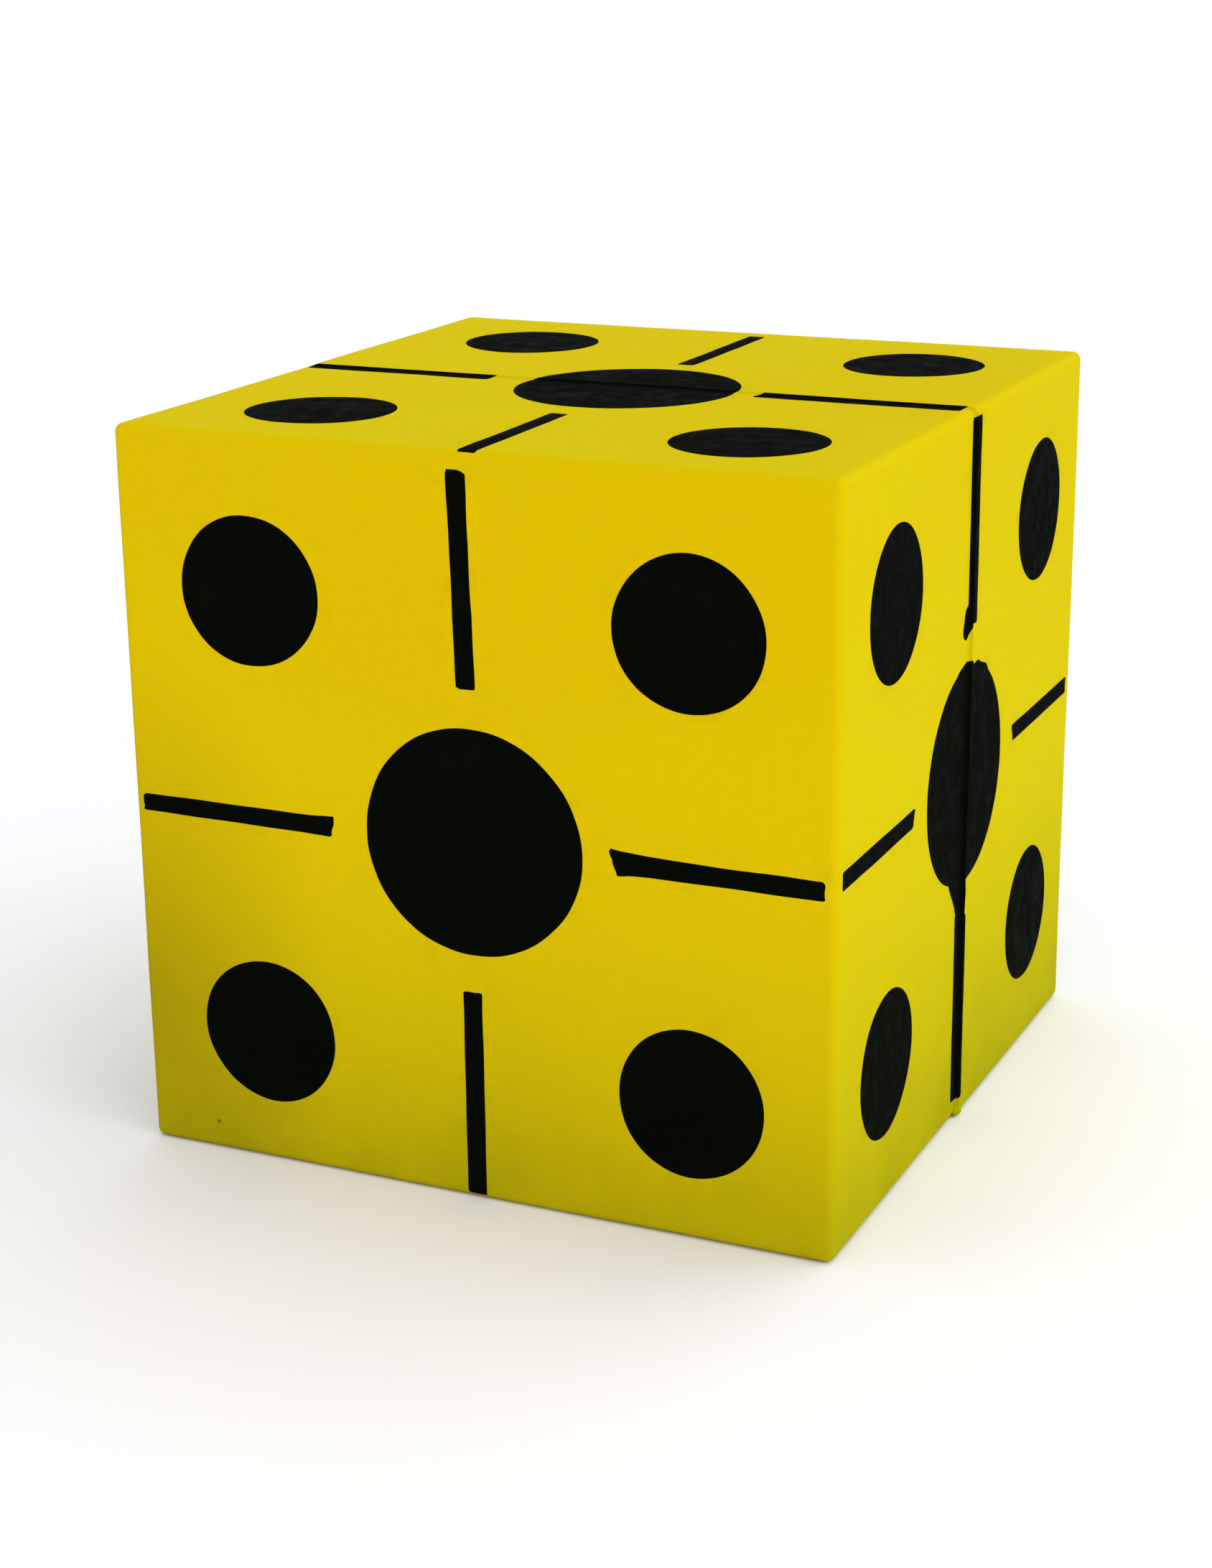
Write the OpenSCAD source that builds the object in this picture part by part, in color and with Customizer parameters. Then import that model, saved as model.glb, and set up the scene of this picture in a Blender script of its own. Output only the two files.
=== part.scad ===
// Giant foam die: a free-standing cube made of two foam halves that are bonded at mid-depth,
// each in its own yellow skin, with black spots and bars painted on all six faces.
// Origin: centre of the base. +Z is up and the front face looks along -Y.

/* [Cube] */
// Width, depth and height of the die
side = 400; // [300:10:600]
// Radius of the rounded edges
edge_r = 5; // [5:1:20]

/* [Joint at mid-depth] */
// How far the rear half stands to the right of the front half
half_shift = 2; // [0.5:0.5:4]
// How much taller the rear half is than the front half
rear_rise = 1; // [0.5:0.5:2]
// Thickness of the glue between the foam halves
glue_t = 1; // [0.5:0.5:3]
// Run-out of the glue bead that fills the step between the halves
bead_run = 2.5; // [1:0.5:5]
// Radius of the glue drop at the lower right end of the bead
drop_r = 3.5; // [3:0.5:6]

/* [Skin and paint] */
// Thickness of the yellow skin
skin_t = 2.5; // [1.5:0.5:4]
// Thickness of the paint, which lies flush in the skin
paint_t = 0.4; // [0.2:0.1:1]

/* [Marks, in percent of the side] */
// Diameter of the spot at the middle of a face
centre_spot_pct = 30.5; // [24:0.5:34]
// Diameter of a spot near a corner
corner_spot_pct = 20; // [14:0.5:24]
// Distance of a corner spot from the face's mid-lines
corner_pitch_pct = 30; // [26:0.5:32]
// Width of a bar
bar_w_pct = 3; // [2:0.5:5]
// Distance of a bar's inner end from the middle of the face
bar_inner_pct = 20; // [19:0.5:24]
// Distance of a bar's outer end from the middle of the face
bar_outer_pct = 48.5; // [40:0.5:48.5]

/* [Hidden] */
$fn = 96;

// The two halves, and the sign of Y on the side where each one lies
FRONT = -1;
REAR = 1;

// Turns that carry a mark from the top face to each of the six faces
FRONT_FACE = [90, 0, 0];
RIGHT_FACE = [90, 0, 90];
REAR_FACE = [90, 0, 180];
LEFT_FACE = [90, 0, 270];
TOP_FACE = [0, 0, 0];
BOTTOM_FACE = [180, 0, 0];
FACES = [FRONT_FACE, RIGHT_FACE, REAR_FACE, LEFT_FACE, TOP_FACE, BOTTOM_FACE];

centre_spot_d = side * centre_spot_pct / 100;
corner_spot_d = side * corner_spot_pct / 100;
corner_pitch = side * corner_pitch_pct / 100;
bar_w = side * bar_w_pct / 100;
bar_inner = side * bar_inner_pct / 100;
bar_outer = side * bar_outer_pct / 100;

// How deep the cutting shape of a mark reaches on each side of a face
reach = 4;
// Spare length on shapes that are trimmed
spare = 2 * edge_r;

YELLOW = [0.93, 0.80, 0.02];
BLACK = [0.05, 0.06, 0.04];
FOAM = [0.86, 0.82, 0.70];
GLUE = [0.80, 0.66, 0.28];

// Height and sideways place of a half
function half_h(half) = half == REAR ? side + rear_rise : side;
function half_x(half) = half * half_shift / 2;

// Flat outline of a half's cross-section, seen along Y, standing on the X axis
module section(half, inset) {
    w = side - 2 * inset;
    h = half_h(half) - 2 * inset;
    translate([half_x(half) - w / 2, inset]) rounded_outline(w, h, edge_r - inset);
}

// Rectangle with round corners, with one corner of its box at the origin
module rounded_outline(w, h, r) {
    translate([r, 0]) square([w - 2 * r, h]);
    translate([0, r]) square([w, h - 2 * r]);
    for (x = [r, w - r], y = [r, h - r])
        translate([x, y]) circle(r);
}

// One half as a block with round edges, moved in by inset from the outer surface. It runs on
// past mid-depth, where it is trimmed later.
module half_block(half, inset) {
    w = side - 2 * inset;
    h = half_h(half) - 2 * inset;
    d = side / 2 - inset + spare;
    r = edge_r - inset;
    translate([half_x(half), half * (side / 2 - inset - d / 2), inset + h / 2])
        intersection() {
            rotate([90, 0, 0]) round_bar(w, h, d + spare, r);
            rotate([90, 0, 90]) round_bar(d, h, w + spare, r);
            round_bar(w, d, h + spare, r);
        }
}

// Upright bar with a rectangular section and round corners, centred on the origin
module round_bar(w, d, length, r) {
    translate([-w / 2, -d / 2, -length / 2])
        linear_extrude(length) rounded_outline(w, d, r);
}

// Everything on a half's own side of mid-depth, from a distance of gap from it
module half_space(half, gap) {
    size = 2 * side;
    translate([-size / 2, half == REAR ? gap : -gap - size, -side / 2]) cube(size);
}

// One half of the die, solid
module half_solid(half, inset, gap) {
    intersection() {
        half_block(half, inset);
        half_space(half, gap);
    }
}

// Foam block of one half
module core(half) {
    color(FOAM) half_solid(half, skin_t, glue_t / 2);
}

// Glue between the two foam blocks
module core_glue() {
    color(GLUE)
        translate([0, glue_t / 2, 0]) rotate([90, 0, 0])
            linear_extrude(glue_t) intersection() {
                section(FRONT, skin_t);
                section(REAR, skin_t);
            }
}

// Wedge of glue along a step, run_out wide and rise high
module bead_strip(rise, run_out, length) {
    linear_extrude(length) polygon([[0, 0], [rise, 0], [0, -run_out]]);
}

// Glue squeezed out along the joint: it fills the step on the right, on top and on the left,
// and ends in a drop at the lower right corner
module seam_bead() {
    right_x = side / 2 - half_shift / 2;
    strip_h = side - 2 * edge_r;
    color(YELLOW) {
        translate([right_x, 0, edge_r]) bead_strip(half_shift, bead_run, strip_h);
        translate([-right_x, 0, edge_r]) rotate(180) bead_strip(half_shift, bead_run, strip_h);
        translate([strip_h / 2, 0, side]) rotate([0, -90, 0])
            bead_strip(rear_rise, bead_run, strip_h);
        glue_drop(right_x);
    }
}

// Drop of glue at the lower right end of the bead
module glue_drop(right_x) {
    difference() {
        translate([right_x, 0, drop_r + paint_t]) sphere(drop_r);
        half_block(FRONT, 0);
        half_solid(REAR, 0, 0);
        translate([right_x, 0, edge_r]) bead_strip(half_shift, bead_run, side / 2);
    }
}

// Shape that cuts a mark out of the layer of paint on one face
module mark_cutter(face) {
    translate([0, 0, side / 2]) rotate(face) translate([0, 0, side / 2 - reach])
        linear_extrude(2 * reach) children();
}

// Paint on one face, in the outline of the children, on both halves
module paint(face) {
    color(BLACK)
        for (half = [FRONT, REAR])
            difference() {
                intersection() {
                    mark_cutter(face) children();
                    half_solid(half, 0, 0);
                }
                half_block(half, paint_t);
            }
}

// Outlines of the marks, the same on every face
module centre_outline() {
    circle(d = centre_spot_d);
}

module corner_outline() {
    for (x = [-corner_pitch, corner_pitch], y = [-corner_pitch, corner_pitch])
        translate([x, y]) circle(d = corner_spot_d);
}

module bars_outline() {
    for (turn = [0, 90, 180, 270])
        rotate(turn) translate([bar_inner, -bar_w / 2]) square([bar_outer - bar_inner, bar_w]);
}

// Yellow skin of one half: open at mid-depth, with shallow pockets that the paint fills
module skin(half) {
    color(YELLOW)
        difference() {
            half_solid(half, 0, 0);
            half_block(half, skin_t);
            for (face = FACES)
                difference() {
                    mark_cutter(face) {
                        centre_outline();
                        corner_outline();
                        bars_outline();
                    }
                    half_block(half, paint_t);
                }
        }
}

core(FRONT);  // front_core
core(REAR);  // rear_core
core_glue();
seam_bead();
skin(FRONT);  // front_skin
skin(REAR);  // rear_skin
paint(FRONT_FACE) centre_outline();  // front_centre_spot
paint(FRONT_FACE) corner_outline();  // front_corner_spots
paint(FRONT_FACE) bars_outline();  // front_bars
paint(RIGHT_FACE) centre_outline();  // right_centre_spot
paint(RIGHT_FACE) corner_outline();  // right_corner_spots
paint(RIGHT_FACE) bars_outline();  // right_bars
paint(REAR_FACE) centre_outline();  // rear_centre_spot
paint(REAR_FACE) corner_outline();  // rear_corner_spots
paint(REAR_FACE) bars_outline();  // rear_bars
paint(LEFT_FACE) centre_outline();  // left_centre_spot
paint(LEFT_FACE) corner_outline();  // left_corner_spots
paint(LEFT_FACE) bars_outline();  // left_bars
paint(TOP_FACE) centre_outline();  // top_centre_spot
paint(TOP_FACE) corner_outline();  // top_corner_spots
paint(TOP_FACE) bars_outline();  // top_bars
paint(BOTTOM_FACE) centre_outline();  // bottom_centre_spot
paint(BOTTOM_FACE) corner_outline();  // bottom_corner_spots
paint(BOTTOM_FACE) bars_outline();  // bottom_bars
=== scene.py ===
"""Giant foam die for lawn games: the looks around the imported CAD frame.

Two foam halves in a yellow skin are bonded at mid-depth a little out of line, and black spots and
bars are painted on every face. Lengths are metres, in the frame of the CAD part.
"""

import math

import bmesh
import bpy
import numpy as np
from mathutils import Matrix, Vector

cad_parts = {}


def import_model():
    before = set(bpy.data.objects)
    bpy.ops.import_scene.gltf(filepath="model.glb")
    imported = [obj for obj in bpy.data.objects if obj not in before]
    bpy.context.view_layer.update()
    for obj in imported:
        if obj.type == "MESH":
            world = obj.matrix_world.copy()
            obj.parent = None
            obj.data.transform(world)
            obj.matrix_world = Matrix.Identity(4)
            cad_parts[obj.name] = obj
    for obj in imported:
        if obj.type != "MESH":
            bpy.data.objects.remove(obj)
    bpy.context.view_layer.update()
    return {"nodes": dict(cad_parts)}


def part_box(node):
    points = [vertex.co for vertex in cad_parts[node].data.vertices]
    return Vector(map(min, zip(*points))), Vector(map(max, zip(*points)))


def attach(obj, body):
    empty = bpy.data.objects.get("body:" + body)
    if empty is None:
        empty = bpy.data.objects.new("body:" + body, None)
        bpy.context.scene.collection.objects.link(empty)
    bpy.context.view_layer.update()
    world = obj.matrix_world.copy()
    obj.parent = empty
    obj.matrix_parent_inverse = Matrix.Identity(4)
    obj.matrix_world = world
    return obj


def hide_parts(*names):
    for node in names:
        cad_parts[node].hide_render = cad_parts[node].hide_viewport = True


MM = 0.001
SEED = 4

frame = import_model()

# Sizes that come from the frame
front_lo, front_hi = (np.array(corner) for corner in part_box("front_skin"))
rear_lo, rear_hi = (np.array(corner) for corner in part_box("rear_skin"))
SIDE = float(front_hi[2] - front_lo[2])
FRONT_MOVE = (front_lo[0] + front_hi[0]) / 2
REAR_MOVE = (rear_lo[0] + rear_hi[0]) / 2
REAR_TALLER = (rear_hi[2] - rear_lo[2]) / SIDE

# Skin
EDGE_R = 5 * MM
SKIN_T = 2.2 * MM
SWELL_H = 0.16 * MM      # height of its broad unevenness, and of its small one
RIPPLE_H = 0.03 * MM
WAVES_TOP = 1.6          # about the highest value that Waves gives
LEAST_DIP = 0.1 * MM     # the skin stays at least this far inside the CAD's surface
RIM_DROP = 0.35 * MM     # how far it rolls in at its rim on the joint
RIM_WIDTH = 0.8 * MM
CELLS_FLAT = 76          # its grid: cells across the flat of a face, and round half an edge
CELLS_ROUND = 5
WELD = 0.02 * MM         # points of the skin nearer than this are made one

# Paint
FILM_T = 0.22 * MM       # height of the paint above the skin, and at the rim of a mark
FILM_EDGE_T = 0.08 * MM
FILM_RIM = 1.5 * MM      # how far in from its rim a mark reaches its full height
REST_FILM_T = 0.08 * MM  # its height on the bottom, where the die presses it flat
STIPPLE_H = 0.02 * MM    # height of the sponge's stipple in it
FILM_SINK = 0.5 * MM     # how far the paint's solid reaches under its own surface
CELL = 2 * MM            # grid that the outlines are cut from
HAZE_WIDTH = 7 * MM      # reach of the haze round a mark

# Glue
BEAD_RUN = 2.0 * MM      # how far the bead feathers out from the step
BEAD_STEPS = (0.0, 0.35, 0.6, 0.8, 0.92, 1.0)    # its rows of points, from its edge to the step
BEAD_SPACING = 3 * MM    # distance between its points along the joint
BEAD_SWELL = 0.05 * MM   # how much it bulges
BEAD_SINK = 0.6 * MM     # how far its solid reaches under the skin
DROP_CENTRE = np.array([FRONT_MOVE + SIDE / 2 + 0.1 * MM, -0.3 * MM, 3.6 * MM])
DROP_SIZE = np.array([2.6, 3.4, 3.0]) * MM
DROP_RINGS, DROP_SPOKES = 14, 24
THIN_WELD = 0.01 * MM    # points of the paint and the glue nearer than this are made one

# Colours, linear
YELLOW = (0.660, 0.552, 0.0015)
# The deep yellow serves the skin's random clouds and the painted warm light up high.
YELLOW_DEEP = (0.670, 0.505, 0.0012)
YELLOW_DULL = (0.555, 0.450, 0.002)
# Painted shade: the darker, greener colour that the lower part of each face turns towards, and its
# share at the bottom
PAINTED_LOW_SHADE = (0.155, 0.212, 0.004)
PAINTED_LOW_SHADE_SHARE = 0.60
PAINTED_LEFT_SHADE = (0.140, 0.120, 0.004)    # painted shade low on the left of the front, darkest at the place below
PAINTED_LEFT_SHADE_SHARE = 0.46
PAINTED_LEFT_SHADE_PLACE = (-0.5 * SIDE, -0.5 * SIDE, 0.22 * SIDE)
PAINTED_LEFT_SHADE_REACH = 0.45 * SIDE
PAINTED_LEFT_SHADE_NARROW = (1.5, 1.0, 0.9)
SPECK = (0.080, 0.050, 0.010)
BLACK = (0.0019, 0.0027, 0.0014)
BLACK_DUSTY = (0.0030, 0.0046, 0.0024)
BLACK_THIN = (0.0050, 0.0045, 0.0010)
FOAM = (0.780, 0.700, 0.520)
FOAM_DARK = (0.500, 0.420, 0.280)
GLUE = (0.620, 0.430, 0.120)
GLUE_DARK = (0.400, 0.250, 0.060)

# Floor and camera
FLOOR_SIZE = 60.0
FLOOR = (0.96, 0.96, 0.96)
FLOOR_SHADE = (0.94, 0.94, 0.94)
MIDDLE = Vector((0, 0, SIDE / 2))
CAMERA_AZIMUTH = 24.66
CAMERA_ELEVATION = 17.57
CAMERA_ROLL = -0.62
CAMERA_DISTANCE = 4.032            # in sides
CAMERA_OFFSET = (0.0326, 0.0686)   # of the die's middle from the picture's, in sides
CAMERA_LENS = 65.16


# ---------------------------------------------------------------- surface of the die

# Each face: the direction it looks in, and its own right and up as seen from outside
FACES = {
    "front": ((0, -1, 0), (1, 0, 0), (0, 0, 1)),
    "right": ((1, 0, 0), (0, 1, 0), (0, 0, 1)),
    "rear": ((0, 1, 0), (-1, 0, 0), (0, 0, 1)),
    "left": ((-1, 0, 0), (0, -1, 0), (0, 0, 1)),
    "top": ((0, 0, 1), (1, 0, 0), (0, 1, 0)),
    "bottom": ((0, 0, -1), (1, 0, 0), (0, -1, 0)),
}


class Waves:
    """Smooth random height, the same everywhere for one seed: a sum of sines."""

    def __init__(self, seed, wavelength, count=14):
        rng = np.random.default_rng(seed)
        direction = rng.normal(size=(count, 3))
        direction /= np.linalg.norm(direction, axis=1)[:, None]
        length = wavelength * rng.uniform(0.6, 1.7, count)
        self.k = direction * (2 * math.pi / length)[:, None]
        self.phase = rng.uniform(0, 2 * math.pi, count)
        self.scale = 1 / math.sqrt(count)

    def __call__(self, points):
        return np.sin(points @ self.k.T + self.phase).sum(-1) * self.scale


swell = Waves(SEED, 140 * MM)
ripple = Waves(SEED + 1, 28 * MM)
stipple = Waves(SEED + 2, 5 * MM)


def face_points(face, u, v):
    """Points on the sharp cube, centred on the origin, from places on one face."""
    out, right, up = (np.array(axis, float) for axis in FACES[face])
    return SIDE / 2 * out + u[..., None] * right + v[..., None] * up


def rounded(points):
    """The same points on the cube with round edges, and the outward normals there."""
    inner = np.clip(points, EDGE_R - SIDE / 2, SIDE / 2 - EDGE_R)
    normal = points - inner
    normal /= np.linalg.norm(normal, axis=-1)[..., None]
    return inner + EDGE_R * normal, normal


def front_half(points):
    """From the centred cube to the front half's place."""
    return points + (FRONT_MOVE, 0, SIDE / 2)


def rear_half(points):
    """From the centred cube to the rear half's place: a little to the right, and taller."""
    return (points + (0, 0, SIDE / 2)) * (1, 1, REAR_TALLER) + (REAR_MOVE, 0, 0)


def step_height(points, normal):
    """How far the rear half stands proud of the front half at these points."""
    return ((rear_half(points) - front_half(points)) * normal).sum(-1)


def rear_share(y, height):
    """0 on the front half and 1 on the rear half, with the bead's hollow slope between."""
    up = np.clip(1 + y / BEAD_RUN, 0, 1) ** 3
    down = 1 - np.clip(1 - y / BEAD_RUN, 0, 1) ** 3
    return np.where(height > 0, up, down)


def uneven(points):
    """Height of the skin's slight unevenness. It only goes inwards, so the die keeps its size."""
    waves = SWELL_H * (swell(points) - WAVES_TOP) + RIPPLE_H * (ripple(points) - WAVES_TOP)
    return np.minimum(waves, -LEAST_DIP)


def surface(points, share=None):
    """Places and normals on the die's outer surface. share is 0 or 1 for one half alone."""
    place, normal = rounded(points)
    if share is None:
        share = rear_share(points[..., 1], step_height(place, normal))
    share = np.asarray(share, float)[..., None]
    place = front_half(place) * (1 - share) + rear_half(place) * share
    return place + uneven(place)[..., None] * normal, normal


# ---------------------------------------------------------------- meshes

def linked(name, data):
    """A new object with this data, in the scene."""
    obj = bpy.data.objects.new(name, data)
    bpy.context.scene.collection.objects.link(obj)
    return obj


def merged(name, verts, polygons, distance, **values):
    """A new smooth object, with points nearer than distance made one. values are lists of
    numbers, one for each point, to keep on the mesh."""
    mesh = bpy.data.meshes.new(name)
    mesh.from_pydata([tuple(v) for v in verts], [], polygons)
    mesh.validate()
    mesh.polygons.foreach_set("use_smooth", [True] * len(mesh.polygons))
    for key, numbers in values.items():
        attribute = mesh.attributes.new(key, "FLOAT", "POINT")
        attribute.data.foreach_set("value", np.array(numbers, np.float32))
    bm = bmesh.new()
    bm.from_mesh(mesh)
    bmesh.ops.remove_doubles(bm, verts=bm.verts, dist=distance)
    bmesh.ops.dissolve_degenerate(bm, edges=bm.edges, dist=distance / 2)
    bm.to_mesh(mesh)
    bm.free()
    return linked(name, mesh)


def thicken(obj, thickness):
    """Makes a closed shell: the surface stays, and the thickness goes inwards."""
    shell = obj.modifiers.new("thickness", "SOLIDIFY")
    shell.thickness = thickness
    shell.offset = -1
    shell.use_even_offset = True


def grid_lines():
    """Places of grid lines across a face: even on the flat, and closer on the rounded edges."""
    flat = np.linspace(EDGE_R - SIDE / 2, SIDE / 2 - EDGE_R, CELLS_FLAT + 1)
    angle = np.linspace(0, math.pi / 4, CELLS_ROUND + 1)[1:]
    edge = SIDE / 2 - EDGE_R + EDGE_R * np.tan(angle)
    return np.concatenate([-edge[::-1], flat, edge])


def joint_lines(lines, sign):
    """The lines on one side of mid-depth, with closer ones where the skin rolls in at its rim."""
    rim = np.array([0, 0.25, 0.5, 1, 2, 4]) * RIM_WIDTH
    own = lines[lines * sign > rim[-1] * 1.5]
    return np.sort(np.concatenate([own, sign * rim]))


def grid_cells(shape, start):
    """The four corners of each cell of a grid, whose points are numbered on from start."""
    rows, columns = shape
    corners = (0, 1, columns + 1, columns)
    for j in range(rows - 1):
        for i in range(columns - 1):
            first = start + j * columns + i
            yield tuple(first + corner for corner in corners)


def skin_half(name, node, sign):
    """Skin of one half: five sides of the rounded cube, open at the joint. sign is the sign of
    Y on the half's side."""
    lines = grid_lines()
    half_lines = joint_lines(lines, sign)
    verts, polygons, haze = [], [], []
    for face, (out, right, up) in FACES.items():
        if out[1] == -sign:
            continue
        u_lines = half_lines * right[1] if right[1] else lines
        v_lines = half_lines * up[1] if up[1] else lines
        u, v = np.meshgrid(np.sort(u_lines), np.sort(v_lines))
        points = face_points(face, u, v)
        place, normal = surface(points, share=np.full(u.shape, sign > 0))
        rim = np.exp(-(np.abs(points[..., 1]) / RIM_WIDTH) ** 2)
        place -= (RIM_DROP * rim)[..., None] * normal
        start = len(verts)
        verts.extend(place.reshape(-1, 3))
        inside = np.max([mark(u, v) for marks in MARKS[face].values() for mark in marks], axis=0)
        haze.extend(np.exp(np.minimum(inside, 0) / HAZE_WIDTH).ravel())
        polygons.extend(grid_cells(u.shape, start))
    skin = merged(name, verts, polygons, WELD, haze=haze)
    thicken(skin, SKIN_T)
    finish_piece(skin, "yellow_skin", node)


def seam_path():
    """Places along the joint on the centred cube at y = 0: up the right side, over the top and
    down the left, starting and ending part-way round the bottom edges."""
    h = SIDE / 2
    low = 0.6 * EDGE_R - h
    rise = np.linspace(low, h, round((h - low) / BEAD_SPACING))
    across = np.linspace(h, -h, round(SIDE / BEAD_SPACING))
    path = [(h, z) for z in rise] + [(x, h) for x in across[1:]] + [(-h, z) for z in rise[::-1][1:]]
    return np.array([(x, 0.0, z) for x, z in path])


def bead_rows():
    """Rows of points along the joint, round the glue bead's section: its underside at its edge,
    its outer surface up to the step, and its underside at the step."""
    path = seam_path()
    place, normal = rounded(path)
    height = step_height(place, normal)
    side = np.where(height > 0, -1, 1)
    rows = []
    for step in BEAD_STEPS:
        points = path.copy()
        points[:, 1] = side * BEAD_RUN * (1 - step)
        outer, outward = surface(points)
        swelling = BEAD_SWELL * (1 + 0.6 * ripple(outer * 3)) * math.sin(math.pi * step)
        rows.append(outer + swelling[:, None] * outward)
    sink = (BEAD_SINK + np.abs(height))[:, None] * normal
    return np.stack([rows[0] - BEAD_SINK * normal, *rows, rows[-1] - sink], 1)


def closed_strip(rows):
    """Points and polygons of the solid between rows of points that run side by side round it."""
    count, ring = rows.shape[:2]
    polygons = []
    for i in range(count - 1):
        for j in range(ring):
            a, b = i * ring + j, i * ring + (j + 1) % ring
            polygons.append((a, b, b + ring, a + ring))
    polygons.append(tuple(range(ring))[::-1])
    polygons.append(tuple(range((count - 1) * ring, count * ring)))
    return rows.reshape(-1, 3), polygons


def face_outwards(obj):
    bm = bmesh.new()
    bm.from_mesh(obj.data)
    bmesh.ops.recalc_face_normals(bm, faces=bm.faces)
    bm.to_mesh(obj.data)
    bm.free()


def seam_bead():
    """Glue squeezed out along the joint: it fills the step and feathers out over the lower half."""
    verts, polygons = closed_strip(bead_rows())
    drop_verts, drop_polygons = glue_drop(len(verts))
    bead = merged("glue_seam", [*verts, *drop_verts], polygons + drop_polygons, THIN_WELD)
    face_outwards(bead)
    finish_piece(bead, "yellow_skin", "seam_bead")


def glue_drop(start):
    """Hardened drop of glue at the lower right end of the bead, as points and polygons."""
    verts = []
    for j in range(DROP_RINGS + 1):
        polar = math.pi * j / DROP_RINGS
        for i in range(DROP_SPOKES):
            turn = 2 * math.pi * i / DROP_SPOKES
            across = math.sin(polar)
            way = np.array([across * math.cos(turn), across * math.sin(turn), math.cos(polar)])
            lump = 1 + 0.12 * math.sin(3 * turn + 1) * across + 0.08 * math.cos(4 * polar)
            verts.append(DROP_CENTRE + DROP_SIZE * way * lump)
    polygons = []
    for j in range(DROP_RINGS):
        for i in range(DROP_SPOKES):
            a = start + j * DROP_SPOKES + i
            b = start + j * DROP_SPOKES + (i + 1) % DROP_SPOKES
            polygons.append((a, a + DROP_SPOKES, b + DROP_SPOKES, b))
    return verts, polygons


# ---------------------------------------------------------------- outlines of the marks

# An outline is a function of (u, v) on a face: how far inside the outline that place lies.

def edge_noise(seed, amplitude, wavelength):
    """Small random offset along an edge, as a function of the place along it."""
    rng = np.random.default_rng(seed)
    length = wavelength * rng.uniform(0.5, 1.8, 5)
    phase = rng.uniform(0, 2 * math.pi, 5)

    def offset(place):
        waves = np.sin(place[..., None] * 2 * math.pi / length + phase)
        return amplitude * waves.sum(-1) / math.sqrt(5)
    return offset


def disc(cu, cv, r, seed):
    """A spot painted through a stencil: round, with a slightly uneven edge."""
    rough = edge_noise(seed, 0.15 * MM, 40 * MM)

    def inside(u, v):
        turn = np.arctan2(v - cv, u - cu)
        slow = 0.35 * MM * np.cos(2 * turn + seed) + 0.25 * MM * np.cos(3 * turn + 2 * seed)
        seamless = rough(r * np.cos(turn)) + rough(r * np.sin(turn) + SIDE)
        return r + slow + 0.5 * seamless - np.hypot(u - cu, v - cv)
    return inside


def bar(way, inner, outer, shift, lean=0.0, width=10.0, flare=0.0, slant=0.0, seed=0):
    """A bar painted by hand along a mid-line, outwards from the middle of the face. All in mm:
    its ends, its shift and its lean across its length, its width, how much wider its inner end
    is, and the slant of that end."""
    along_u, along_v = WAYS[way]
    sides = edge_noise(seed, 0.10, 60)
    ends = edge_noise(seed + 1, 0.25, 9)
    corner_r = 0.8

    def inside(u, v):
        s = (u * along_u + v * along_v) / MM
        q = (v * along_u - u * along_v) / MM
        t = np.clip((s - inner) / (outer - inner), 0, 1)
        q = q - shift - lean * (0.5 - t)
        half = width / 2 + flare / 2 * np.exp(-t * 9) + sides(s)
        across = half - np.abs(q)
        along = np.minimum(s - inner - slant * q / width - ends(q), outer + ends(q + 50) - s)
        past_u, past_v = np.maximum(corner_r - across, 0), np.maximum(corner_r - along, 0)
        corner = corner_r - np.hypot(past_u, past_v)
        return np.minimum(np.minimum(across, along), corner) * MM
    return inside


def streak(start, end):
    """A tapered run of paint between two round ends, each (u, v, radius) in mm."""
    a, b = np.array(start) * MM, np.array(end) * MM
    length2 = ((b - a)[:2] ** 2).sum()

    def inside(u, v):
        t = np.clip(((u - a[0]) * (b - a)[0] + (v - a[1]) * (b - a)[1]) / length2, 0, 1)
        away = np.hypot(u - a[0] - t * (b - a)[0], v - a[1] - t * (b - a)[1])
        return a[2] + t * (b - a)[2] - away
    return inside


def joined(*shapes):
    """One outline from several."""
    return lambda u, v: np.max([shape(u, v) for shape in shapes], axis=0)


def without(shape, *cuts):
    """An outline with others cut from it."""
    return lambda u, v: np.min([shape(u, v), *(-cut(u, v) for cut in cuts)], axis=0)


WAYS = {"right": (1, 0), "up": (0, 1), "left": (-1, 0), "down": (0, -1)}
CORNERS = ((-1, 1), (1, 1), (-1, -1), (1, -1))     # top left, top right, bottom left, bottom right
PITCH = 0.30 * SIDE
CENTRE_R = 0.1525 * SIDE
CORNER_R = 0.10 * SIDE

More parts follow.
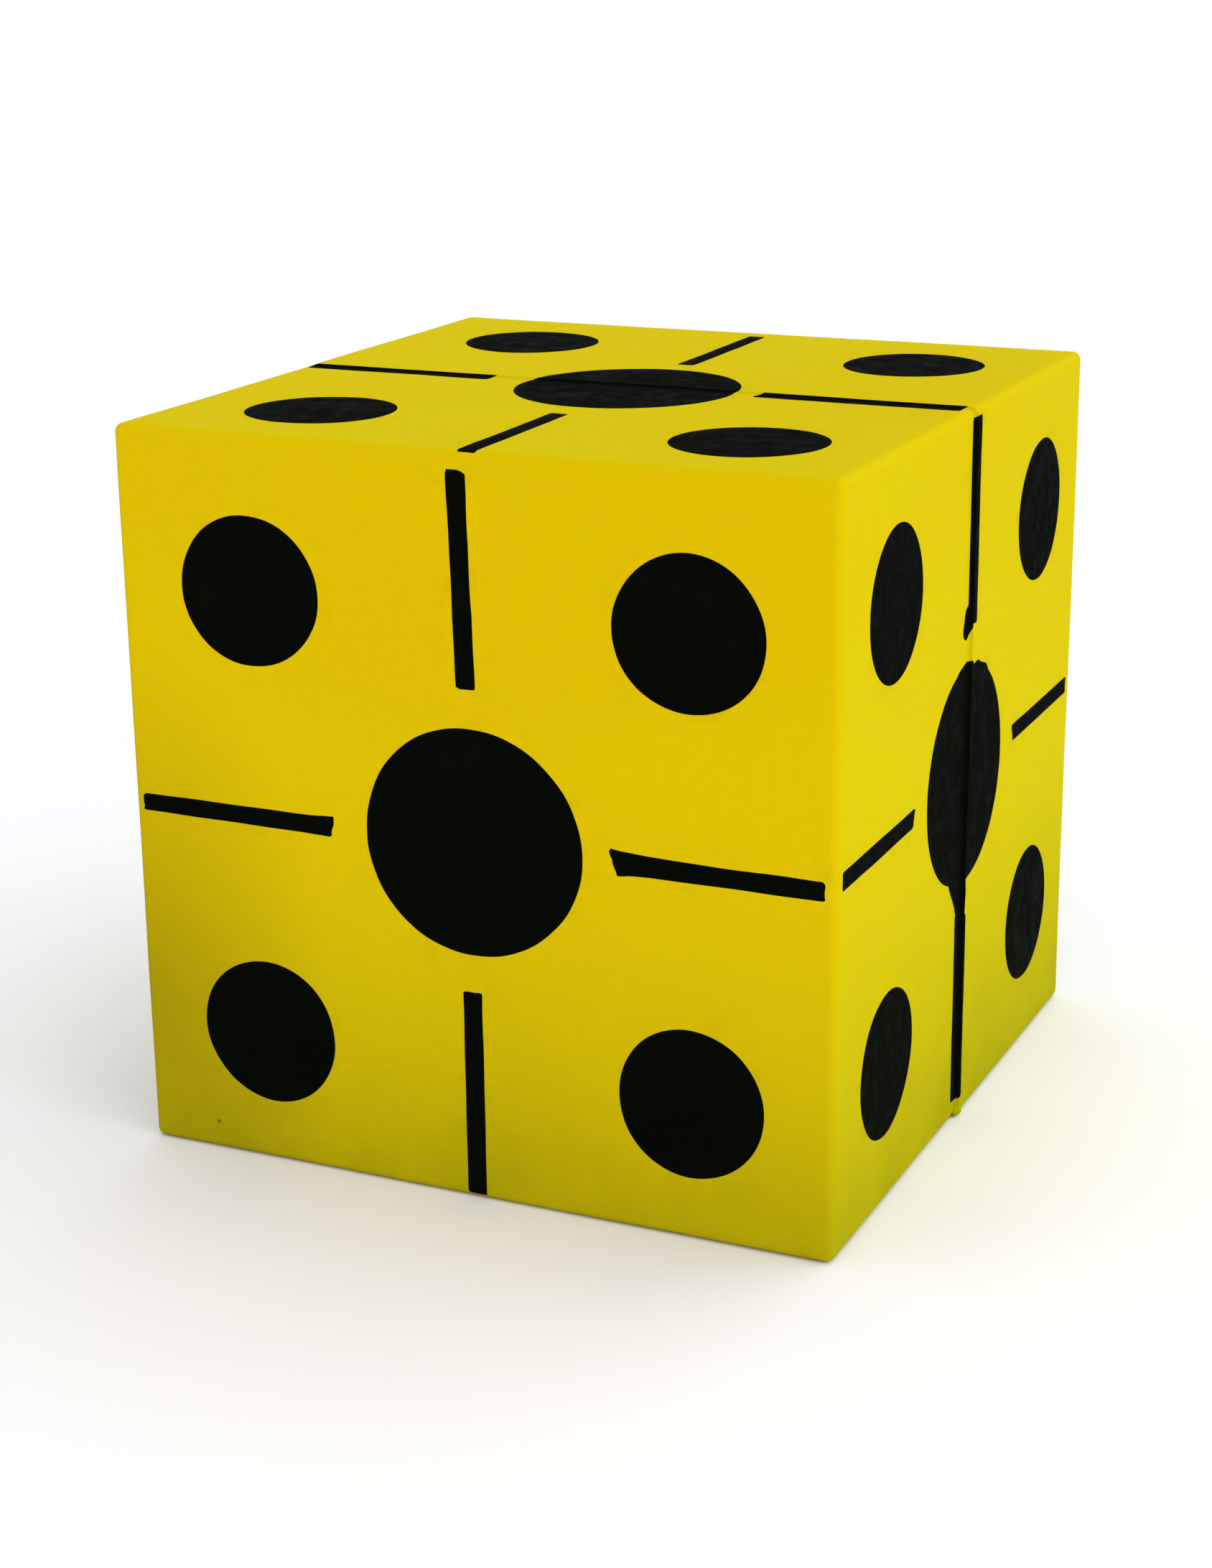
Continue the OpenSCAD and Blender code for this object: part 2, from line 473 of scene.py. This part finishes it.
# Where the stencil and brush strayed on the faces that show, in mm from the even layout:
# the centre spot, then the corner spots in the order of CORNERS
STRAY = {
    "front": ((3, -2), (-2, -2), (2, -1), (-2, -5), (3, -5)),
    "right": ((-3, 1), (0, 3), (1, 2), (-2, 0), (1, 1)),
    "top": ((5, -9), (5, -3), (5, -4), (2, -6), (4, -7)),
}
BARS = {
    "front": (
        dict(way="up", inner=79, outer=190, shift=0, lean=-3, width=10.8),
        dict(way="left", inner=78, outer=194, shift=3.5, width=10, flare=1.5, slant=1.5),
        dict(way="right", inner=81, outer=193.5, shift=-1.5, width=10.4, flare=4.5, slant=-3.5),
        dict(way="down", inner=83, outer=198.5, shift=1, width=11, slant=-1),
    ),
    "right": (
        dict(way="up", inner=84, outer=195.5, shift=-2, width=9.5),
        dict(way="left", inner=85, outer=193, shift=-2, width=10.5, slant=3),
        dict(way="right", inner=80, outer=190, shift=2, width=10, slant=-3),
        dict(way="down", inner=78, outer=189, shift=-3.5, lean=-1, width=13.5, slant=4),
    ),
    "top": (
        dict(way="up", inner=71, outer=183, shift=-4, width=10.4),
        dict(way="left", inner=80, outer=195, shift=4, width=9, flare=1.5),
        dict(way="right", inner=79, outer=194, shift=-4, width=9.5, flare=1.5, slant=2),
        dict(way="down", inner=91, outer=199, shift=4, width=10.4),
    ),
}


def any_bars(rng):
    """Bars of a left, rear or bottom face: the same layout with small errors of its own."""
    return tuple(
        dict(way=way, inner=rng.uniform(77, 84), outer=rng.uniform(188, 195), shift=rng.uniform(-3, 3),
             lean=rng.uniform(-3, 3), width=rng.uniform(9, 10.5), flare=rng.uniform(0, 3),
             slant=rng.uniform(-4, 4))
        for way in WAYS
    )


def seam_spot(spot):
    """The right face's centre spot. The step lifted its stencil: paint crept up on both sides of
    the joint, left a bare nick between them, and ran down the joint towards the lower bar. The
    spot's lower right is flattened."""
    crept = streak((-12, 52, 10.5), (-3, 53.5, 11))
    far_side = streak((9, 50, 12), (17, 44, 15.5))
    nick = streak((3.8, 61, 0.4), (4.4, 70, 1.5))
    run = joined(streak((-11, -54, 12), (-6, -67, 8)), streak((-6, -67, 8), (-3.5, -82, 4)))
    flat = streak((70, -40, 20), (35, -85, 20))
    return without(joined(spot, crept, far_side, run), nick, flat)


def face_marks(face, number):
    """Outlines of one face's marks, in a list for each kind."""
    rng = np.random.default_rng(SEED + number)
    stray = STRAY.get(face) or rng.uniform(-3, 3, (5, 2))
    (cu, cv), corners = stray[0], stray[1:]
    centre = disc(cu * MM, cv * MM, CENTRE_R, number)
    if face == "right":
        centre = seam_spot(centre)
    spots = [
        disc(a * PITCH + du * MM, b * PITCH + dv * MM, CORNER_R, 10 * number + k)
        for k, ((a, b), (du, dv)) in enumerate(zip(CORNERS, corners))
    ]
    bars = BARS.get(face) or any_bars(rng)
    strips = [bar(seed=100 * number + 10 * k, **values) for k, values in enumerate(bars)]
    if face == "right":
        strips[0] = joined(strips[0], streak((-5.5, 82.5, 5.5), (-3.5, 90, 5)))
    return {"centre_spot": [centre], "corner_spots": spots, "bars": strips}


MARKS = {face: face_marks(face, number) for number, face in enumerate(FACES)}


# ---------------------------------------------------------------- paint

def paint_lines(axis_on_y):
    """Grid lines for cutting outlines. Where the axis crosses the joint, the lines near it lie
    closer, so that the paint follows the glue bead."""
    lines = np.arange(-SIDE / 2, SIDE / 2 + CELL / 2, CELL)
    if not axis_on_y:
        return lines
    bead = BEAD_RUN * np.array([-1, -0.65, -0.4, -0.2, -0.08, 0, 0.08, 0.2, 0.4, 0.65, 1])
    return np.sort(np.concatenate([lines[np.abs(lines) > BEAD_RUN * 1.2], bead]))


def crossings(u, v, inside, dj, di, first):
    """Where an outline crosses a grid's edges that run dj rows and di columns: the places, and
    for each edge the number of its point, counted from first, or -1 where it doesn't cross."""
    rows, columns = inside.shape
    here = slice(0, rows - dj), slice(0, columns - di)
    there = slice(dj, rows), slice(di, columns)
    a, b = inside[here], inside[there]
    crosses = (a > 0) != (b > 0)
    share = np.clip(a[crosses] / (a[crosses] - b[crosses]), 0.02, 0.98)
    u0, u1 = u[here][crosses], u[there][crosses]
    v0, v1 = v[here][crosses], v[there][crosses]
    number = np.full(a.shape, -1)
    number[crosses] = first + np.arange(crosses.sum())
    return u0 + share * (u1 - u0), v0 + share * (v1 - v0), number


def cut_grid(u_lines, v_lines, inside):
    """The part of a grid where inside is above 0, as places (u, v), their depth inside, and
    polygons. Its outline crosses the grid's edges where inside is 0."""
    u, v = np.meshgrid(u_lines, v_lines)
    held = inside > 0
    count = int(held.sum())
    number = np.full(inside.shape, -1)
    number[held] = np.arange(count)
    u_along, v_along, along = crossings(u, v, inside, 0, 1, count)
    u_up, v_up, up = crossings(u, v, inside, 1, 0, count + len(u_along))
    all_u = np.concatenate([u[held], u_along, u_up])
    all_v = np.concatenate([v[held], v_along, v_up])
    depth = np.concatenate([inside[held], np.zeros(len(u_along) + len(u_up))])
    polygons = []
    cells = held[:-1, :-1] | held[1:, :-1] | held[:-1, 1:] | held[1:, 1:]
    for j, i in np.argwhere(cells):
        ring = (number[j, i], along[j, i], number[j, i + 1], up[j, i + 1],
                number[j + 1, i + 1], along[j + 1, i], number[j + 1, i], up[j, i])
        polygons.append(tuple(int(k) for k in ring if k >= 0))
    return all_u, all_v, depth, polygons


def paint(face, kind):
    """The paint of one kind of mark on one face: a thin film that follows the skin and the joint."""
    _, right, up = FACES[face]
    u_lines, v_lines = paint_lines(right[1] != 0), paint_lines(up[1] != 0)
    grid = np.meshgrid(u_lines, v_lines)
    verts, polygons = [], []
    for mark in MARKS[face][kind]:
        u, v, depth, cells = cut_grid(u_lines, v_lines, mark(*grid))
        place, normal = surface(face_points(face, u, v))
        body = np.clip(depth / FILM_RIM, 0, 1)
        height = FILM_EDGE_T + (FILM_T - FILM_EDGE_T) * body * body * (3 - 2 * body)
        height = height + STIPPLE_H * stipple(place)
        if face == "bottom":
            height = np.minimum(height, REST_FILM_T)
        start = len(verts)
        verts.extend(place + height[:, None] * normal)
        polygons.extend(tuple(start + k for k in cell) for cell in cells)
    film = merged(f"paint_{face}_{kind}", verts, polygons, THIN_WELD)
    thicken(film, FILM_SINK)
    finish_piece(film, "black_paint", f"{face}_{kind}")


def finish_piece(obj, slot, node):
    """Gives a piece its material, puts it under the root body, and hides the CAD node that it
    replaces.
    """
    obj.data.materials.append(LOOKS[slot])
    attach(obj, "root")
    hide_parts(node)


# ---------------------------------------------------------------- materials

class Look:
    """A material on one Principled shader, with short ways to add its nodes."""

    def __init__(self, name, roughness, specular):
        self.material = bpy.data.materials.new(name)
        self.material.use_nodes = True
        self.tree = self.material.node_tree
        self.shader = self.tree.nodes["Principled BSDF"]
        self.shader.inputs["Roughness"].default_value = roughness
        self.shader.inputs["Specular IOR Level"].default_value = specular
        self.place = self.add("ShaderNodeTexCoord").outputs["Object"]

    def add(self, kind, inputs=None, **settings):
        """A node with these settings, and these values or links on its inputs."""
        node = self.tree.nodes.new(kind)
        for name, value in settings.items():
            setattr(node, name, value)
        for name, value in (inputs or {}).items():
            if isinstance(value, bpy.types.NodeSocket):
                self.tree.links.new(value, node.inputs[name])
            else:
                node.inputs[name].default_value = value
        return node

    def noise(self, size, detail=3.0, rough=0.5):
        """Noise whose blobs are about size metres across."""
        inputs = {"Vector": self.place, "Scale": 1 / size, "Detail": detail, "Roughness": rough}
        return self.add("ShaderNodeTexNoise", inputs).outputs["Fac"]

    def cells(self, size):
        """Random cells about size metres across, with outputs Distance and Color."""
        inputs = {"Vector": self.place, "Scale": 1 / size}
        return self.add("ShaderNodeTexVoronoi", inputs).outputs

    def remap(self, value, low, high, to_low=0.0, to_high=1.0):
        """Value from low to high becomes to_low to to_high, and stays there beyond them."""
        inputs = {
            "Value": value, "From Min": low, "From Max": high, "To Min": to_low, "To Max": to_high,
        }
        return self.add("ShaderNodeMapRange", inputs).outputs["Result"]

    def near(self, place, reach, narrow):
        """1 at a place, down to 0 at reach metres from it. narrow divides the reach, axis by axis."""
        kind = "ShaderNodeVectorMath"
        away = self.add(kind, {0: self.place, 1: place}, operation="SUBTRACT").outputs[0]
        away = self.add(kind, {0: away, 1: narrow}, operation="MULTIPLY").outputs[0]
        length = self.add(kind, {0: away}, operation="LENGTH").outputs["Value"]
        return self.remap(length, 0.0, reach, 1.0, 0.0)

    def maths(self, operation, a, b):
        return self.add("ShaderNodeMath", {0: a, 1: b}, operation=operation).outputs[0]

    def times(self, a, b):
        return self.maths("MULTIPLY", a, b)

    def mix(self, share, a, b):
        """Colour a where share is 0 and b where it is 1."""
        node = self.add("ShaderNodeMix", data_type="RGBA", clamp_factor=True)
        for index, value in ((0, share), (6, a), (7, b)):
            if isinstance(value, bpy.types.NodeSocket):
                self.tree.links.new(value, node.inputs[index])
            else:
                node.inputs[index].default_value = value if index == 0 else (*value, 1)
        return node.outputs[2]

    def bump(self, height, distance, normal=None):
        inputs = {"Height": height, "Distance": distance, "Strength": 1.0}
        if normal:
            inputs["Normal"] = normal
        return self.add("ShaderNodeBump", inputs).outputs["Normal"]

    def wire(self, **sockets):
        """Links these outputs to the shader, and returns the finished material."""
        for name, value in sockets.items():
            self.tree.links.new(value, self.shader.inputs[name.replace("_", " ")])
        return self.material


def clean_yellow(look, height):
    """Cloudy yellow, deeper towards the top; the deepening with height is painted light, a warmer tone
    up high.
    """
    cloud = look.remap(look.noise(150 * MM, 2), 0.3, 0.7, 0.0, 0.4)
    # Painted light: the yellow turns deeper and warmer with height.
    painted_warmth_up_high = look.remap(height, 0.3 * SIDE, 0.9 * SIDE, 0.0, 0.6)
    colour = look.mix(look.maths("ADD", cloud, painted_warmth_up_high), YELLOW, YELLOW_DEEP)
    fine = look.remap(look.noise(6 * MM, 4, 0.6), 0.3, 0.7, 0.0, 0.12)
    return look.mix(fine, colour, YELLOW_DULL)


def with_painted_low_shade(look, height, colour):
    """Painted shade: darker, greener colour over the lower part in patches, standing in for the shade
    near the floor, and a darker painted shade low on the front's left.
    """
    # Painted shade: darker and greener towards the bottom, in patches.
    low = look.maths("POWER", look.remap(height, 0.0, 0.6 * SIDE, 1.0, 0.0), 2.0)
    patches = look.remap(look.noise(60 * MM, 5, 0.6), 0.3, 0.7, 0.7, 1.0)
    colour = look.mix(look.times(look.times(low, patches), PAINTED_LOW_SHADE_SHARE), colour, PAINTED_LOW_SHADE)
    # Painted shade: a darker patch low on the front's left.
    left_shade = look.times(look.near(PAINTED_LEFT_SHADE_PLACE, PAINTED_LEFT_SHADE_REACH, PAINTED_LEFT_SHADE_NARROW), PAINTED_LEFT_SHADE_SHARE)
    return look.mix(left_shade, colour, PAINTED_LEFT_SHADE)


def hazed(look, colour):
    """Fine black haze that drifted under the stencil, close round the marks."""
    haze = look.add("ShaderNodeAttribute", attribute_name="haze").outputs["Fac"]
    drift = look.remap(look.noise(18 * MM, 4, 0.7), 0.5, 0.7, 0.0, 0.12)
    return look.mix(look.times(haze, drift), colour, BLACK)


def specked(look, colour):
    """A few specks of dirt, each at the middle of a random cell. One cell in nine has one."""
    cells = look.cells(26 * MM)
    shade = look.add("ShaderNodeSeparateColor", {"Color": cells["Color"]}).outputs[0]
    chosen = look.remap(shade, 0.88, 0.89)
    speck = look.remap(cells["Distance"], 0.03, 0.055, 1.0, 0.0)
    return look.mix(look.times(look.times(speck, chosen), 0.75), colour, SPECK)


def yellow_skin():
    """Matte yellow skin: cloudy, with painted shade low down, and with a fine pebbled and pored
    surface.
    """
    look = Look("yellow_skin", roughness=0.6, specular=0.004)
    height = look.add("ShaderNodeSeparateXYZ", {"Vector": look.place}).outputs["Z"]
    colour = with_painted_low_shade(look, height, clean_yellow(look, height))
    colour = specked(look, hazed(look, colour))
    rough = look.remap(look.noise(12 * MM, 4), 0.3, 0.7, 0.52, 0.7)
    normal = look.bump(look.noise(1.6 * MM, 2, 0.5), 0.05 * MM)
    normal = look.bump(look.cells(2.4 * MM)["Distance"], 0.03 * MM, normal)
    return look.wire(Base_Color=colour, Roughness=rough, Normal=normal)


def black_paint():
    """Flat black paint: slightly thin and dusty in places, with the stipple of a sponge."""
    look = Look("black_paint", roughness=0.7, specular=0.004)
    dust = look.remap(look.noise(30 * MM, 5, 0.65), 0.45, 0.75, 0.0, 0.5)
    thin = look.remap(look.noise(5 * MM, 4, 0.7), 0.62, 0.8, 0.0, 0.25)
    colour = look.mix(dust, BLACK, BLACK_DUSTY)
    colour = look.mix(thin, colour, BLACK_THIN)
    rough = look.remap(look.noise(9 * MM, 4), 0.3, 0.7, 0.5, 0.8)
    normal = look.bump(look.noise(1.2 * MM, 3, 0.6), 0.05 * MM)
    return look.wire(Base_Color=colour, Roughness=rough, Normal=normal)


def foam():
    """Cut foam of the two blocks: pale, with open cells."""
    look = Look("foam", roughness=0.9, specular=0.1)
    cells = look.cells(1.5 * MM)["Distance"]
    colour = look.mix(look.remap(cells, 0.1, 0.7), FOAM_DARK, FOAM)
    return look.wire(Base_Color=colour, Normal=look.bump(cells, 0.3 * MM))


def glue():
    """Dried contact glue: amber and streaky."""
    look = Look("glue", roughness=0.4, specular=0.5)
    streaks = look.noise(8 * MM, 3)
    colour = look.mix(look.remap(streaks, 0.3, 0.7), GLUE_DARK, GLUE)
    return look.wire(Base_Color=colour, Normal=look.bump(streaks, 0.2 * MM))


LOOKS = {"yellow_skin": yellow_skin(), "black_paint": black_paint(), "foam": foam(), "glue": glue()}

skin_half("skin_front_half", "front_skin", -1)
skin_half("skin_rear_half", "rear_skin", 1)
seam_bead()
for face in FACES:
    for kind in ("centre_spot", "corner_spots", "bars"):
        paint(face, kind)

for node, slot in (("front_core", "foam"), ("rear_core", "foam"), ("core_glue", "glue")):
    core = frame["nodes"][node]
    core.data.materials.clear()
    core.data.materials.append(LOOKS[slot])


# ---------------------------------------------------------------- floor, lights and camera

def floor():
    """A wide pale floor, very slightly cloudy."""
    mesh = bpy.data.meshes.new("floor")
    bm = bmesh.new()
    bmesh.ops.create_grid(bm, x_segments=1, y_segments=1, size=FLOOR_SIZE / 2)
    bm.to_mesh(mesh)
    bm.free()
    obj = linked("floor", mesh)
    look = Look("floor", roughness=0.8, specular=0.1)
    tone = look.mix(look.remap(look.noise(0.4, 3), 0.3, 0.7), FLOOR, FLOOR_SHADE)
    obj.data.materials.append(look.wire(Base_Color=tone))


def area_light(name, place, size, power, colour):
    """A soft lamp aimed at the middle of the die. place is in sides from there."""
    lamp = bpy.data.lights.new(name, "AREA")
    lamp.shape = "DISK"
    lamp.size = size * SIDE
    lamp.energy = power
    lamp.color = colour
    obj = linked(name, lamp)
    obj.location = MIDDLE + SIDE * Vector(place)
    obj.rotation_euler = (MIDDLE - obj.location).to_track_quat("-Z", "Y").to_euler()


def sun(name, azimuth, elevation, strength, colour, spread):
    """Even light from one direction. Azimuth turns from the die's right towards its rear."""
    lamp = bpy.data.lights.new(name, "SUN")
    lamp.energy = math.pi * strength
    lamp.color = colour
    lamp.angle = math.radians(spread)
    obj = linked(name, lamp)
    a, e = math.radians(azimuth), math.radians(elevation)
    towards = Vector((math.cos(a) * math.cos(e), math.sin(a) * math.cos(e), math.sin(e)))
    obj.rotation_euler = towards.to_track_quat("Z", "Y").to_euler()


def world(colour, strength):
    """Even light from all round."""
    scene = bpy.context.scene
    scene.world = bpy.data.worlds.new("studio")
    scene.world.use_nodes = True
    background = scene.world.node_tree.nodes["Background"]
    background.inputs["Color"].default_value = (*colour, 1)
    background.inputs["Strength"].default_value = strength


def camera():
    """Looks down on the die from the right of its front."""
    azimuth = math.radians(CAMERA_AZIMUTH)
    elevation = math.radians(CAMERA_ELEVATION)
    roll = math.radians(CAMERA_ROLL)
    flat = math.cos(elevation)
    back = Vector((math.sin(azimuth) * flat, -math.cos(azimuth) * flat, math.sin(elevation)))
    level = Vector((math.cos(azimuth), math.sin(azimuth), 0))
    upright = back.cross(level)
    right = math.cos(roll) * level + math.sin(roll) * upright
    up = back.cross(right)
    data = bpy.data.cameras.new("camera")
    data.lens = CAMERA_LENS
    obj = linked("camera", data)
    axes = Matrix((right, up, back)).transposed().to_4x4()
    aside, above = CAMERA_OFFSET
    place = MIDDLE + SIDE * (CAMERA_DISTANCE * back - aside * right - above * up)
    obj.matrix_world = Matrix.Translation(place) @ axes
    bpy.context.scene.camera = obj


floor()
sun("key", azimuth=20, elevation=52, strength=0.52, colour=(1.0, 0.99, 0.98), spread=110)
area_light("warm_front", place=(0.2, -5.0, 0.15), size=1.0, power=6.5, colour=(1.0, 0.42, 0.20))
area_light("side", place=(2.4, -0.9, 0.9), size=0.8, power=0.45, colour=(1.0, 0.90, 0.75))
world((0.65, 0.68, 0.73), 1.0)
camera()
bpy.context.scene.view_settings.view_transform = "Standard"
